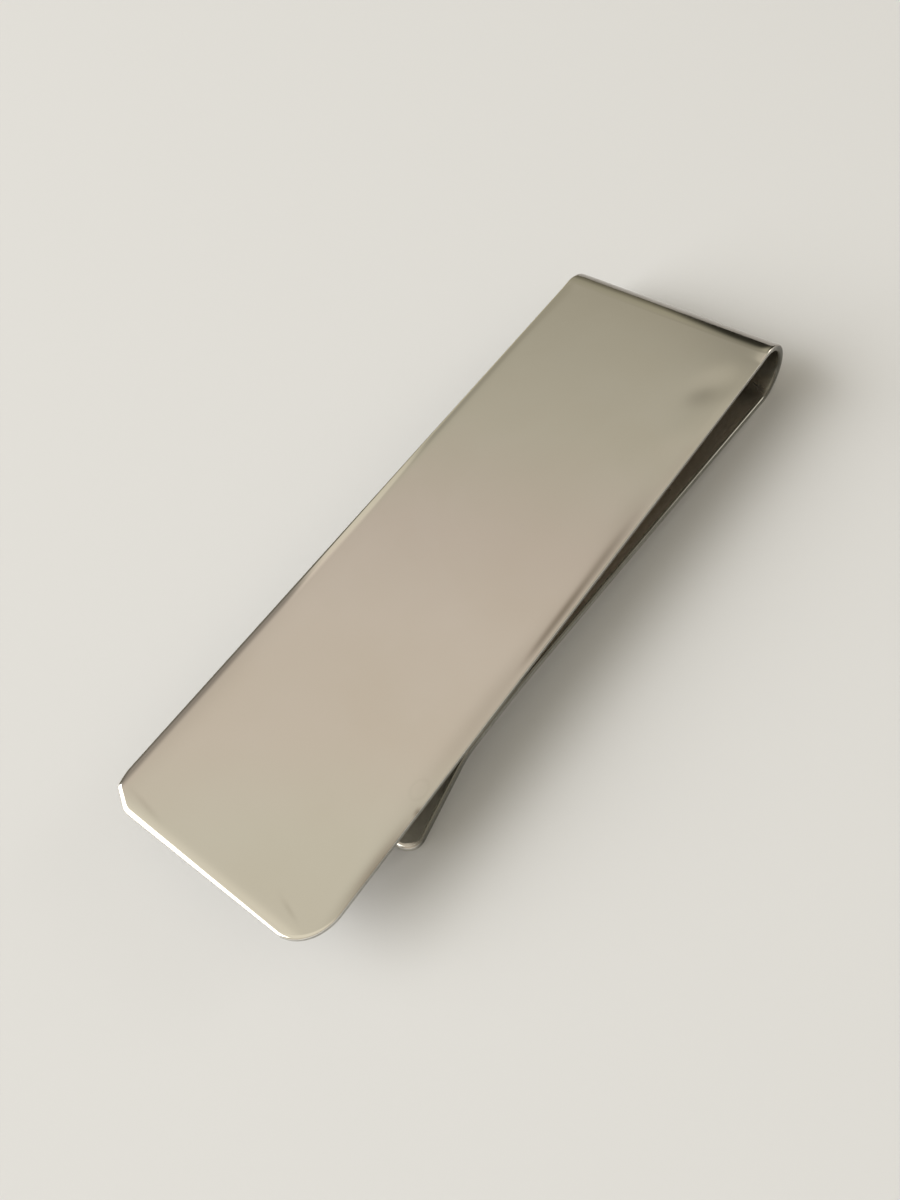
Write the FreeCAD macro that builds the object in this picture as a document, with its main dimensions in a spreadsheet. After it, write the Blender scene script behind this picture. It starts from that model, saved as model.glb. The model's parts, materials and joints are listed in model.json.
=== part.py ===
import FreeCAD, Part
import math
import os
import Sketcher

# Money clip: one strip of polished sterling silver, folded once into a flat
# face plate and a sprung back leg that presses on the underside of the plate.
# Units are millimetres. Row frame: +Z up, +X towards the fold, +Y towards the
# side of the strip that is on the left when looking from the free end to the
# fold. The origin is on the table, under the middle of the clip's box.
#
# The strip is divided into the zones in which it bends:
#   face_plate    the flat plate
#   spring_fold   the round fold
#   leg_root      the straight leg next to the fold
#   leg_span      the straight leg further out
#   grip_crest    the bow that comes up and touches the plate
#   lead_in_lip   the lip that flares away, so that notes slide in
# Neighbouring zones meet face to face on flat cross-sections of the strip.

doc = FreeCAD.newDocument("money_clip")

# ---------------------------------------------------------------- dimensions
sheet = doc.addObject("Spreadsheet::Sheet", "Dims")
sheet.Label = "Dims"
DIMS = [
    ("strip_width", 19.0, "width of the strip, 3/4 inch stock"),
    ("strip_thick", 0.6, "thickness of the strip"),
    ("plate_length", 57.36, "free end of the plate to the start of the fold"),
    ("corner_right", 2.9, "corner radius of the plate's free end, -Y side"),
    ("corner_left", 2.2, "corner radius of the plate's free end, +Y side"),
    ("fold_upper", 3.32, "outer radius of the fold's upper quarter"),
    ("fold_lower", 2.68, "outer radius of the fold from its widest point down"),
    ("leg_angle", 7.4, "slope of the straight leg against the plate, degrees"),
    ("root_length", 13.5, "straight leg between the fold and the second flexure"),
    ("crest_gap", 0.08, "air between the crest and the plate when closed"),
    ("crest_place", 17.3, "crest, measured from the plate's free end"),
    ("flare_radius", 3.4, "radius of the bend into the lip, on its lower side"),
    ("lip_angle", 28.6, "slope of the lip against the plate, degrees"),
    ("lip_length", 7.0, "length of the straight lip"),
    ("lip_corner", 1.5, "corner radius of the lip's end"),
    ("edge_round", 0.15, "polished rounding of the strip's edges"),
]
for row, (alias, value, words) in enumerate(DIMS, start=1):
    sheet.set("A%d" % row, alias)
    sheet.set("B%d" % row, repr(float(value)))
    sheet.setAlias("B%d" % row, alias)
    sheet.set("C%d" % row, words)
doc.recompute()
D = {alias: float(sheet.get(alias)) for alias, _, _ in DIMS}


def derived(alias, value, words):
    """A number that follows from the others, kept in the sheet beside them."""
    row = len(D) + 1
    sheet.set("A%d" % row, alias)
    sheet.set("B%d" % row, repr(round(float(value), 9)))
    sheet.setAlias("B%d" % row, alias)
    sheet.set("C%d" % row, words)
    doc.recompute()
    D[alias] = float(sheet.get(alias))


# ------------------------------------------------------- side profile, solved
# Plate frame: x from the plate's free end towards the fold, z up from the
# plate's upper face. Points are on the outer side of the strip, which is the
# upper side on the plate and the lower side on the leg.
th = D["strip_thick"]
a_leg = math.radians(D["leg_angle"])
a_lip = math.radians(D["lip_angle"])
# The fold is bent by hand, a little tighter below than above: an upper quarter
# turn about one centre, and then the rest, at the same height, about another.
fold_c = (D["plate_length"], -D["fold_upper"])
low_c = (fold_c[0] + D["fold_upper"] - D["fold_lower"], fold_c[1])
leg_start = (
    low_c[0] - D["fold_lower"] * math.sin(a_leg),
    low_c[1] - D["fold_lower"] * math.cos(a_leg),
)
crest = (D["crest_place"], -(2 * th + D["crest_gap"]))
# The bow's radius follows from the crest's place and height, because the bow
# is tangent to the straight leg and level at the crest.
run = leg_start[0] - crest[0]
rise = crest[1] - leg_start[1]
bow = (run * math.tan(a_leg) - rise) / (
    math.sin(a_leg) * math.tan(a_leg) - (1 - math.cos(a_leg))
)
bow_start = (crest[0] + bow * math.sin(a_leg), crest[1] - bow * (1 - math.cos(a_leg)))
straight = math.hypot(leg_start[0] - bow_start[0], leg_start[1] - bow_start[1])
root_end = (
    leg_start[0] - D["root_length"] * math.cos(a_leg),
    leg_start[1] + D["root_length"] * math.sin(a_leg),
)
lip_start = (
    crest[0] - D["flare_radius"] * math.sin(a_lip),
    crest[1] - D["flare_radius"] * (1 - math.cos(a_lip)),
)
lip_end = (
    lip_start[0] - D["lip_length"] * math.cos(a_lip),
    lip_start[1] - D["lip_length"] * math.sin(a_lip),
)
derived("fold_inner", D["fold_upper"] - th, "inner radius of the fold's upper quarter")
derived("fold_turn", 90 + D["leg_angle"], "turn of the fold's lower part, degrees")
derived("fold_shift", D["fold_upper"] - D["fold_lower"], "lower centre past the upper one")
derived("bow_radius", bow, "radius of the bow, on its lower side")
derived("span_length", straight - D["root_length"], "straight leg, outer part")

# The clip lies on the fold's round and on the lip's end. Both touch the table
# when the plate is tipped by this angle, fold end up.
er = D["edge_round"]
tip_c = (
    lip_end[0] + er * math.cos(a_lip) - er * math.sin(a_lip),
    lip_end[1] + er * math.sin(a_lip) + er * math.cos(a_lip),
)
tilt = 0.0
for _ in range(60):
    fold_low = low_c[0] * math.sin(tilt) + low_c[1] * math.cos(tilt) - D["fold_lower"]
    tip_low = tip_c[0] * math.sin(tilt) + tip_c[1] * math.cos(tilt) - er
    tilt += (tip_low - fold_low) / (low_c[0] - tip_c[0])
derived("rest_tilt", math.degrees(tilt), "tip of the plate as the clip lies, degrees")
derived("rest_drop", -fold_low, "plate frame's origin above the table")
# Ends of the clip along X once it is tipped, for centring the box.
x_high = low_c[0] * math.cos(tilt) - low_c[1] * math.sin(tilt) + D["fold_lower"]
x_low = er * math.sin(tilt)
derived("mid_x", (x_high + x_low) / 2, "middle of the clip along X, plate frame tipped")


def place(point, turn_deg):
    """Placement of a zone: its local origin at a point of the plate frame, its
    local X turned down by turn_deg from the plate, then the whole clip tipped
    as it lies, centred in X and Y and standing on Z 0."""
    tip = FreeCAD.Placement(
        FreeCAD.Vector(-D["mid_x"], 0, D["rest_drop"]),
        FreeCAD.Rotation(FreeCAD.Vector(0, 1, 0), -D["rest_tilt"]),
    )
    own = FreeCAD.Placement(
        FreeCAD.Vector(point[0], 0, point[1]),
        FreeCAD.Rotation(FreeCAD.Vector(0, 1, 0), turn_deg),
    )
    return tip.multiply(own)


# ------------------------------------------------------------ making features
made = []


def new_body(name):
    body = doc.addObject("PartDesign::Body", "Body_" + name)
    body.Label = name
    made.append((name, body))
    return body


def origin_feature(body, role):
    return next(f for f in body.Origin.OriginFeatures if f.Role == role)


def sketch_on(body, role, name):
    sk = body.newObject("Sketcher::SketchObject", name)
    sk.AttachmentSupport = [(origin_feature(body, role), "")]
    sk.MapMode = "FlatFace"
    return sk


def section(body, name, low, high, axis_at=None):
    """Cross-section of the strip on the YZ plane: symmetric about Z, from
    height low to height high (both spreadsheet expressions, or None for 0).
    With axis_at, also the bend's axis as a construction line."""
    sk = sketch_on(body, "YZ_Plane", name)
    w, z0, z1 = 9.5, 1.0, 1.6
    pts = [(-w, z0), (w, z0), (w, z1), (-w, z1)]
    for i in range(4):
        p, q = pts[i], pts[(i + 1) % 4]
        sk.addGeometry(
            Part.LineSegment(FreeCAD.Vector(p[0], p[1], 0), FreeCAD.Vector(q[0], q[1], 0)),
            False,
        )
    for i in range(4):
        sk.addConstraint(Sketcher.Constraint("Coincident", i, 2, (i + 1) % 4, 1))
    sk.addConstraint(Sketcher.Constraint("Horizontal", 2))
    sk.addConstraint(Sketcher.Constraint("Vertical", 1))
    sk.addConstraint(Sketcher.Constraint("Vertical", 3))
    sk.addConstraint(Sketcher.Constraint("Symmetric", 0, 1, 0, 2, -2))
    c = sk.addConstraint(Sketcher.Constraint("DistanceX", 0, 1, 0, 2, 19.0))
    sk.renameConstraint(c, "width")
    sk.setExpression("Constraints.width", "Dims.strip_width")
    c = sk.addConstraint(Sketcher.Constraint("DistanceY", 1, 1, 1, 2, 0.6))
    sk.renameConstraint(c, "thick")
    sk.setExpression("Constraints.thick", "Dims.strip_thick")
    if low is None:
        sk.addConstraint(Sketcher.Constraint("PointOnObject", 0, 1, -1))
    else:
        c = sk.addConstraint(Sketcher.Constraint("DistanceY", -1, 1, 0, 1, 1.0))
        sk.renameConstraint(c, "low")
        sk.setExpression("Constraints.low", low)
    if axis_at is not None:
        g = sk.addGeometry(
            Part.LineSegment(FreeCAD.Vector(-5, -3, 0), FreeCAD.Vector(5, -3, 0)), True
        )
        sk.addConstraint(Sketcher.Constraint("Symmetric", g, 1, g, 2, -2))
        c = sk.addConstraint(Sketcher.Constraint("DistanceX", g, 1, g, 2, 10.0))
        c = sk.addConstraint(Sketcher.Constraint("DistanceY", g, 1, -1, 1, 3.0))
        sk.renameConstraint(c, "axis_depth")
        sk.setExpression("Constraints.axis_depth", axis_at)
    doc.recompute()
    return sk


def straight_zone(body, name, length):
    """The strip run straight along -X from its cross-section at X 0, lying on
    Z 0: its lower face is the outer side of the strip."""
    sk = section(body, name + "_section", None, None)
    pad = body.newObject("PartDesign::Pad", name + "_pad")
    pad.Profile = sk
    pad.setExpression("Length", length)
    pad.Reversed = True
    sk.Visibility = False
    doc.recompute()
    return pad


def bend(body, name, sk, axis, angle, reverse):
    rev = body.newObject("PartDesign::Revolution", name)
    rev.Profile = sk
    rev.ReferenceAxis = axis
    rev.setExpression("Angle", angle)
    rev.Reversed = reverse
    sk.Visibility = False
    doc.recompute()
    return rev


def edge_names(feature, wanted):
    """Edges of a feature's shape whose two ends and middle satisfy wanted."""
    names = []
    for i, e in enumerate(feature.Shape.Edges, start=1):
        first, last = e.ParameterRange
        pts = [e.valueAt(first), e.valueAt((first + last) / 2), e.valueAt(last)]
        if wanted(pts):
            names.append("Edge%d" % i)
    return names


def fillet(body, name, base, names, radius):
    f = body.newObject("PartDesign::Fillet", name)
    f.Base = (base, names)
    f.setExpression("Radius", radius)
    base.Visibility = False
    doc.recompute()
    return f


half = D["strip_width"] / 2
EPS = 1e-5

# ------------------------------------------------------------------ face_plate
# A flat plate, upper face on Z 0, from the free end at X 0 to the fold.
face = new_body("face_plate")
sk = sketch_on(face, "XY_Plane", "plate_outline")
corners = [(0, -9.5), (57.9, -9.5), (57.9, 9.5), (0, 9.5)]
for i in range(4):
    p, q = corners[i], corners[(i + 1) % 4]
    sk.addGeometry(
        Part.LineSegment(FreeCAD.Vector(p[0], p[1], 0), FreeCAD.Vector(q[0], q[1], 0)), False
    )
for i in range(4):
    sk.addConstraint(Sketcher.Constraint("Coincident", i, 2, (i + 1) % 4, 1))
sk.addConstraint(Sketcher.Constraint("Horizontal", 0))
sk.addConstraint(Sketcher.Constraint("Horizontal", 2))
sk.addConstraint(Sketcher.Constraint("Vertical", 1))
sk.addConstraint(Sketcher.Constraint("Symmetric", 3, 1, 3, 2, -1))
c = sk.addConstraint(Sketcher.Constraint("DistanceY", 3, 2, 3, 1, 19.0))
sk.renameConstraint(c, "width")
sk.setExpression("Constraints.width", "Dims.strip_width")
c = sk.addConstraint(Sketcher.Constraint("DistanceX", 0, 1, 0, 2, 57.9))
sk.renameConstraint(c, "length")
sk.setExpression("Constraints.length", "Dims.plate_length")
sk.addConstraint(Sketcher.Constraint("PointOnObject", 0, 1, -2))
pad = face.newObject("PartDesign::Pad", "plate_pad")
pad.Profile = sk
pad.setExpression("Length", "Dims.strip_thick")
pad.Reversed = True
sk.Visibility = False
doc.recompute()


def plate_corner(side):
    return lambda pts: all(abs(p.x) < EPS and abs(p.y - side * half) < EPS for p in pts)


f1 = fillet(face, "corner_right_round", pad, edge_names(pad, plate_corner(-1)), "Dims.corner_right")
f2 = fillet(face, "corner_left_round", f1, edge_names(f1, plate_corner(1)), "Dims.corner_left")


def plate_rim(pts):
    at_fold = all(abs(p.x - D["plate_length"]) < EPS for p in pts)
    level = max(p.z for p in pts) - min(p.z for p in pts) < EPS
    return level and not at_fold


f3 = fillet(face, "plate_edge_round", f2, edge_names(f2, plate_rim), "Dims.edge_round")
face.Tip = f3
face.Placement = place((0, 0), 0)

# ----------------------------------------------------------------- spring_fold
# A quarter turn about the body's own Y axis, from straight up to level, and
# then a tighter bend to just past straight down, where it meets the leg.
fold = new_body("spring_fold")
sk = section(fold, "fold_section", "Dims.fold_inner", None)
quarter = bend(fold, "fold_quarter", sk, (origin_feature(fold, "Y_Axis"), [""]), "90", False)
if quarter.Shape.BoundBox.XMax < 1:
    quarter.Reversed = True
    doc.recompute()
vol_quarter = quarter.Shape.Volume
sk = sketch_on(fold, "XY_Plane", "fold_middle")
corners = [(3.0, -9.5), (3.6, -9.5), (3.6, 9.5), (3.0, 9.5)]
for i in range(4):
    p, q = corners[i], corners[(i + 1) % 4]
    sk.addGeometry(
        Part.LineSegment(FreeCAD.Vector(p[0], p[1], 0), FreeCAD.Vector(q[0], q[1], 0)), False
    )
for i in range(4):
    sk.addConstraint(Sketcher.Constraint("Coincident", i, 2, (i + 1) % 4, 1))
sk.addConstraint(Sketcher.Constraint("Horizontal", 0))
sk.addConstraint(Sketcher.Constraint("Horizontal", 2))
sk.addConstraint(Sketcher.Constraint("Vertical", 1))
sk.addConstraint(Sketcher.Constraint("Symmetric", 3, 1, 3, 2, -1))
c = sk.addConstraint(Sketcher.Constraint("DistanceY", 3, 2, 3, 1, 19.0))
sk.renameConstraint(c, "width")
sk.setExpression("Constraints.width", "Dims.strip_width")
c = sk.addConstraint(Sketcher.Constraint("DistanceX", 0, 1, 0, 2, 0.6))
sk.renameConstraint(c, "thick")
sk.setExpression("Constraints.thick", "Dims.strip_thick")
c = sk.addConstraint(Sketcher.Constraint("DistanceX", -1, 1, 0, 1, 3.0))
sk.renameConstraint(c, "inner")
sk.setExpression("Constraints.inner", "Dims.fold_inner")
g = sk.addGeometry(
    Part.LineSegment(FreeCAD.Vector(0.6, -5, 0), FreeCAD.Vector(0.6, 5, 0)), True
)
sk.addConstraint(Sketcher.Constraint("Symmetric", g, 1, g, 2, -1))
sk.addConstraint(Sketcher.Constraint("DistanceY", g, 1, g, 2, 10.0))
c = sk.addConstraint(Sketcher.Constraint("DistanceX", -1, 1, g, 1, 0.6))
sk.renameConstraint(c, "axis_shift")
sk.setExpression("Constraints.axis_shift", "Dims.fold_shift")
doc.recompute()
rev = bend(fold, "fold_rest", sk, (sk, ["Axis0"]), "Dims.fold_turn", False)
if rev.Shape.Volume < vol_quarter * 1.001 or rev.Shape.BoundBox.ZMin > -1:
    rev.Reversed = True
    doc.recompute()


def along_strip(shape_thick):
    """Edges that run along the strip: on one side of it, and longer than the
    strip is thick."""

    def wanted(pts):
        side = all(abs(abs(p.y) - half) < EPS for p in pts)
        long_enough = (pts[0] - pts[2]).Length > shape_thick * 1.01 or (
            pts[0] - pts[1]
        ).Length > shape_thick * 1.01
        return side and long_enough

    return wanted


f = fillet(fold, "fold_edge_round", rev, edge_names(rev, along_strip(th)), "Dims.edge_round")
fold.Tip = f
fold.Placement = place(fold_c, 0)

# -------------------------------------------------------- leg_root and leg_span
# Straight lengths of the leg, one after the other.
for name, length, at in (
    ("leg_root", "Dims.root_length", leg_start),
    ("leg_span", "Dims.span_length", root_end),
):
    body = new_body(name)
    pad = straight_zone(body, name, length)
    f = fillet(body, name + "_edge_round", pad, edge_names(pad, along_strip(th)), "Dims.edge_round")
    body.Tip = f
    body.Placement = place(at, D["leg_angle"])

# ------------------------------------------------------------------ grip_crest
# Local origin on the lower side of the crest. A wide bend comes up from the
# leg on +X, and a tight bend goes down to the lip on -X.
grip = new_body("grip_crest")
sk = section(grip, "bow_section", None, None, "Dims.bow_radius")
bow_bend = bend(grip, "bow_bend", sk, (sk, ["Axis0"]), "Dims.leg_angle", False)
if bow_bend.Shape.BoundBox.XMax < 1:
    bow_bend.Reversed = True
    doc.recompute()
vol_bow = bow_bend.Shape.Volume
sk = section(grip, "flare_section", None, None, "Dims.flare_radius")
flare_bend = bend(grip, "flare_bend", sk, (sk, ["Axis0"]), "Dims.lip_angle", False)
if flare_bend.Shape.Volume < vol_bow * 1.001 or flare_bend.Shape.BoundBox.XMin > -1:
    flare_bend.Reversed = True
    doc.recompute()
f = fillet(
    grip, "crest_edge_round", flare_bend, edge_names(flare_bend, along_strip(th)), "Dims.edge_round"
)
grip.Tip = f
grip.Placement = place(crest, 0)

# ----------------------------------------------------------------- lead_in_lip
lip = new_body("lead_in_lip")
pad = straight_zone(lip, "lip", "Dims.lip_length")


def lip_corners(pts):
    return all(
        abs(p.x + D["lip_length"]) < EPS and abs(abs(p.y) - half) < EPS for p in pts
    )


f1 = fillet(lip, "lip_corner_round", pad, edge_names(pad, lip_corners), "Dims.lip_corner")


def lip_rim(pts):
    at_start = all(abs(p.x) < EPS for p in pts)
    level = max(p.z for p in pts) - min(p.z for p in pts) < EPS
    return level and not at_start


f2 = fillet(lip, "lip_edge_round", f1, edge_names(f1, lip_rim), "Dims.edge_round")
lip.Tip = f2
lip.Placement = place(lip_start, -D["lip_angle"])

# ------------------------------------------------------------ check and export
doc.recompute()
for o in doc.Objects:
    bad = [s for s in o.State if s in ("Invalid", "Error")]
    if bad:
        raise RuntimeError("%s is %s" % (o.Name, bad))
    if o.TypeId == "Sketcher::SketchObject" and not o.FullyConstrained:
        raise RuntimeError("%s isn't fully constrained" % o.Name)

area = D["strip_width"] * th
expected = {
    "face_plate": area * D["plate_length"],
    "spring_fold": area
    * (
        (D["fold_upper"] - th / 2) * math.pi / 2
        + (D["fold_lower"] - th / 2) * math.radians(D["fold_turn"])
    ),
    "leg_root": area * D["root_length"],
    "leg_span": area * D["span_length"],
    "grip_crest": area
    * ((bow + th / 2) * a_leg + (D["flare_radius"] + th / 2) * a_lip),
    "lead_in_lip": area * D["lip_length"],
}
os.makedirs("parts", exist_ok=True)
total = 0.0
low = 1e9
for name, body in made:
    shape = body.Shape
    if shape.isNull() or not shape.isValid() or len(shape.Solids) != 1:
        raise RuntimeError("%s has no good solid" % name)
    if not 0.97 < shape.Volume / expected[name] < 1.0005:
        raise RuntimeError("%s has volume %.3f, not %.3f" % (name, shape.Volume, expected[name]))
    total += shape.Volume
    b = shape.optimalBoundingBox(False, False)
    low = min(low, b.ZMin)
    shape.exportStep("parts/%s.step" % name)
    print(
        "%-12s %8.3f mm3  x %8.3f %8.3f  y %7.3f %7.3f  z %7.3f %7.3f"
        % (name, shape.Volume, b.XMin, b.XMax, b.YMin, b.YMax, b.ZMin, b.ZMax)
    )
if abs(low) > 0.01:
    raise RuntimeError("the clip doesn't stand on Z 0: %.4f" % low)
print("total volume %.3f mm3" % total)
for alias in ("fold_inner", "fold_turn", "bow_radius", "span_length", "rest_tilt", "rest_drop", "mid_x"):
    print("%-12s %.6f" % (alias, D[alias]))
for name, point in (
    ("flexure at the top of the fold", (D["plate_length"], 0.0)),
    ("flexure at the foot of the fold", leg_start),
    ("flexure in the leg", root_end),
    ("crest, lower side", crest),
    ("lip end, lower side", lip_end),
    ("fold centre, upper", fold_c),
    ("fold centre, lower", low_c),
):
    p = place(point, 0).Base
    print("%-32s x %9.5f  z %9.5f" % (name, p.x, p.z))
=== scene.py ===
import bpy
import json
import math
import numpy as np
from mathutils import Matrix, Vector


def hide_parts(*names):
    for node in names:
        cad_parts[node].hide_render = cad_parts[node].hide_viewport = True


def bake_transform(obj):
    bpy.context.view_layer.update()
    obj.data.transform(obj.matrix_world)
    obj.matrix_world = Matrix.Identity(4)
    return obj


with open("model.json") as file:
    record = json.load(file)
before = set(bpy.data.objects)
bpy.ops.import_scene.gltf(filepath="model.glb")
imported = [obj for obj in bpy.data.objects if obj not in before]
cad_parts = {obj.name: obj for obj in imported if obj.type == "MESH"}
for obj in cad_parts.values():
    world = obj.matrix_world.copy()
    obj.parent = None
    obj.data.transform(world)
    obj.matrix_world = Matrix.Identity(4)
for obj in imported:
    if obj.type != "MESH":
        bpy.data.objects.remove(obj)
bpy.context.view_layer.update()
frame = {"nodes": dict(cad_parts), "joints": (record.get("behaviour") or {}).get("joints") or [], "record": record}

# ---------------------------------------------------------------- the frame
# The plate frame of the CAD model: x from the plate's free end towards the
# fold, y across, z up from the plate's upper face, in millimetres. The row
# frame is that frame tipped as the clip lies, from the record's own mount.
mount = next(m for m in frame["record"]["mounts"] if m["name"] == "plate_face")
TILT = math.atan2(-mount["axis"][0], mount["axis"][2])
hinge = {j["name"]: Vector(j["pos_m"]) * 1000 for j in frame["joints"]}
PLATE = 57.36
T = 0.6
W = 19.0
UPPER = 3.32
LOWER = 2.68
LEG_ANGLE = math.radians(7.4)
ROOT = 13.5
STRAIGHT = 32.289203
BOW = 64.711504
FLARE = 3.4
LIP_ANGLE = math.radians(28.6)
LIP = 7.0
ct, st = math.cos(TILT), math.sin(TILT)
# the top flexure is on the plate's upper face, where the fold starts
MID = PLATE * ct - hinge["fold_flex"].x
DROP = hinge["fold_flex"].z - PLATE * st


def row(x, y, z):
    """Plate frame, mm, to row frame, metres. Works on arrays."""
    return (
        np.stack([x * ct - z * st - MID, y, x * st + z * ct + DROP], axis=-1) / 1000.0
    )


# --------------------------------------------------- the strip's outer line
# s runs along the outer side of the strip, from the plate's free end round
# the fold and along the leg to the lip's end. turn is signed: the fold turns
# one way, the bow and the flare the other way.
SEGMENTS = [
    (PLATE, 0.0),
    (UPPER * math.pi / 2, -1 / UPPER),
    (LOWER * (math.pi / 2 + LEG_ANGLE), -1 / LOWER),
    (STRAIGHT, 0.0),
    (BOW * LEG_ANGLE, 1 / BOW),
    (FLARE * LIP_ANGLE, 1 / FLARE),
    (LIP, 0.0),
]
BREAKS = np.concatenate([[0], np.cumsum([l for l, _ in SEGMENTS])])
S_FOLD, S_MID, S_LEG, S_BOW, S_CREST, S_LIP, LENGTH = BREAKS[1:]


def outer_line(s):
    """Point and heading on the outer side at s."""
    x, z, a = 0.0, 0.0, 0.0
    s_left = s
    for i, (length, k) in enumerate(SEGMENTS):
        last = i == len(SEGMENTS) - 1
        step = s_left if last else min(max(s_left, 0.0) if i else s_left, length)
        if k == 0:
            x += math.cos(a) * step
            z += math.sin(a) * step
        else:
            b = a + k * step
            x += (math.sin(b) - math.sin(a)) / k
            z += (math.cos(a) - math.cos(b)) / k
            a = b
        s_left -= step
        if s_left <= 0:
            break
    return x, z, a


def lay_out(s, y, n):
    """Unrolled strip (s along, y across, n out of the outer side) to the plate
    frame."""
    pts = np.array([outer_line(v) for v in s])
    nx, nz = -np.sin(pts[:, 2]), np.cos(pts[:, 2])
    return pts[:, 0] + n * nx, y, pts[:, 1] + n * nz


# ------------------------------------------------ small true deviations (mm)
def smooth(e0, e1, v):
    t = np.clip((v - e0) / (e1 - e0), 0, 1)
    return t * t * (3 - 2 * t)


def bump2(s, y, s0, y0, a, b, height, lean=0.0):
    """A soft oval dent or rise, y measured from the middle of the strip."""
    u = (s - s0) + lean * (y - y0)
    return height * np.exp(-((u / a) ** 2) - (((y - y0) / b) ** 2))


def swell(s, y):
    """Where the whole sheet is lifted out of its ideal bend: the sides of the
    tight bends curl up a little, as sheet does when it is bent, and the
    plate is not quite flat."""
    edge = W / 2 - np.abs(y)
    in_fold = smooth(S_FOLD - 1.1, S_FOLD + 0.7, s) * (1 - smooth(S_LEG - 0.9, S_LEG + 0.9, s))
    curl = 0.050 * np.exp(-edge / 0.50) * in_fold
    # the side towards -Y is curled more than the other
    curl *= 1.0 + 0.6 * smooth(3, -9, y)
    in_flare = smooth(S_CREST - 0.6, S_CREST + 0.3, s) * (1 - smooth(S_LIP - 0.3, S_LIP + 0.6, s))
    curl -= 0.02 * np.exp(-edge / 0.6) * in_flare
    # hand-planished waviness, a few microns
    wave = (
        0.0016 * np.sin(0.41 * s + 0.6 * np.sin(0.23 * y + 1.0))
        + 0.0012 * np.sin(0.83 * s - 0.52 * y + 2.1)
        + 0.0008 * np.sin(1.31 * y + 0.37 * s + 0.4)
    )
    dents = (
        bump2(s, y, 52.2, -7.3, 1.8, 1.3, -0.052, 0.6)
        + bump2(s, y, 46.9, -7.6, 2.0, 1.2, 0.022, 0.4)
        + bump2(s, y, 29.5, -9.0, 3.4, 0.40, -0.008)
    )
    return curl + wave + dents


def buffing(s, y):
    """The polishing wheel wears the faces down towards their edges, most at
    the plate's free end and along its +Y side."""
    right = np.clip(W / 2 + y, 0, None)
    left = np.clip(W / 2 + GROW - y, 0, None)
    front = np.clip(s, 0, None)
    back = np.clip(LENGTH - s, 0, None)
    flat = 1 - smooth(S_FOLD - 0.9, S_FOLD + 0.5, s)
    flat = flat + smooth(S_LEG - 0.5, S_LEG + 0.9, s)
    far = smooth(38, 48, s) * (1 - smooth(S_FOLD - 0.9, S_FOLD + 0.5, s))
    worn = -(0.010 * flat + 0.022 * far) * np.exp(-((right / 0.48) ** 2)) - 0.0015 * np.exp(-((right / 1.3) ** 2))
    worn += -0.050 * np.exp(-((left / 0.52) ** 2)) - 0.0015 * np.exp(-((left / 1.4) ** 2))
    worn += -0.030 * np.exp(-((front / 0.60) ** 2)) - 0.0010 * np.exp(-((front / 1.4) ** 2))
    worn += -0.012 * np.exp(-((back / 0.62) ** 2))
    return worn


# ------------------------------------------------------------- the full mesh
GROW = 0.08  # the sheet is cut this much wide of its line along the +Y side


def outer_edge(s, side):
    """Width, depth and squareness of the outer side's rounded edge at a point
    of the outline. 2 is a round edge, less is flatter, more like a chamfer.
    side is -1 at the -Y side and +1 at the +Y side, and between them at the
    two ends."""
    left = (side + 1) / 2
    front = 1 - smooth(0.4, 2.6, s)
    width = (0.17 + 0.07 * left) * (1 - front) + (0.24 + 0.20 * left) * front
    depth = (0.12 + 0.02 * left) * (1 - front) + (0.17 + 0.11 * left) * front
    power = 2.0 * (1 - front) + 1.75 * front
    return width, depth, power


def inner_edge(s):
    """Width and depth of the inner side's rounded edge, which is wide at the
    lip's end, where the notes slide in."""
    end = smooth(LENGTH - 1.6, LENGTH - 0.4, s)
    return 0.22 + 0.32 * end, 0.17 + 0.13 * end


def corner(a, b, power, count=26):
    """A rounded corner as (distance from the end, distance from the side,
    outward direction towards the end, and towards the side), from the point
    on the end edge to the point on the side. Power 2 is an ellipse, and less
    is flatter, like a corner filed off and then rounded."""
    out = []
    for i in range(count):
        # u runs from the end edge to the side, even along the curve
        t = math.pi / 2 * i / (count - 1)
        cs, sn = max(math.cos(t), 1e-9), max(math.sin(t), 1e-9)
        x = a * cs ** (2 / power)
        y = b * sn ** (2 / power)
        # normal of |x/a|^p + |y/b|^p = 1
        nx = cs ** (2 - 2 / power) / a
        ny = sn ** (2 - 2 / power) / b
        q = math.hypot(nx, ny)
        # x is measured from the centre of the corner towards the end
        out.append((a - x, b - y, nx / q, ny / q))
    return out


def filed_corner(turns, count):
    """A corner of arcs and one straight, as corner() gives it. turns lists
    (radius, degrees, points) and (length, 0, points) from the end edge."""
    heading, path = 0.0, [(0.0, 0.0, 0.0)]
    for size, degrees, points in turns:
        for k in range(points):
            e, d, h = path[-1]
            if degrees:
                step = math.radians(degrees) / points
                e += size * (math.cos(h) - math.cos(h + step))
                d += size * (math.sin(h + step) - math.sin(h))
                h += step
            else:
                e += size / points * math.sin(h)
                d += size / points * math.cos(h)
            path.append((e, d, h))
    far = path[-1][1]
    out = [(e, far - d, math.cos(h), math.sin(h)) for e, d, h in path]
    assert len(out) == count and abs(path[-1][2] - math.pi / 2) < 1e-9
    return out


def outline_side(first, last, stations):
    """One side of the strip's outline as (s, inset from the side, direction in
    s, direction in y): round corner, straight stations, round corner."""
    res = []
    for e, d, ne, nd in first:
        res.append((e, d, -ne, -nd))
    for s in stations:
        res.append((s, 0.0, 0.0, -1.0))
    for e, d, ne, nd in last[::-1]:
        res.append((LENGTH - e, d, ne, -nd))
    return res


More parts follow.
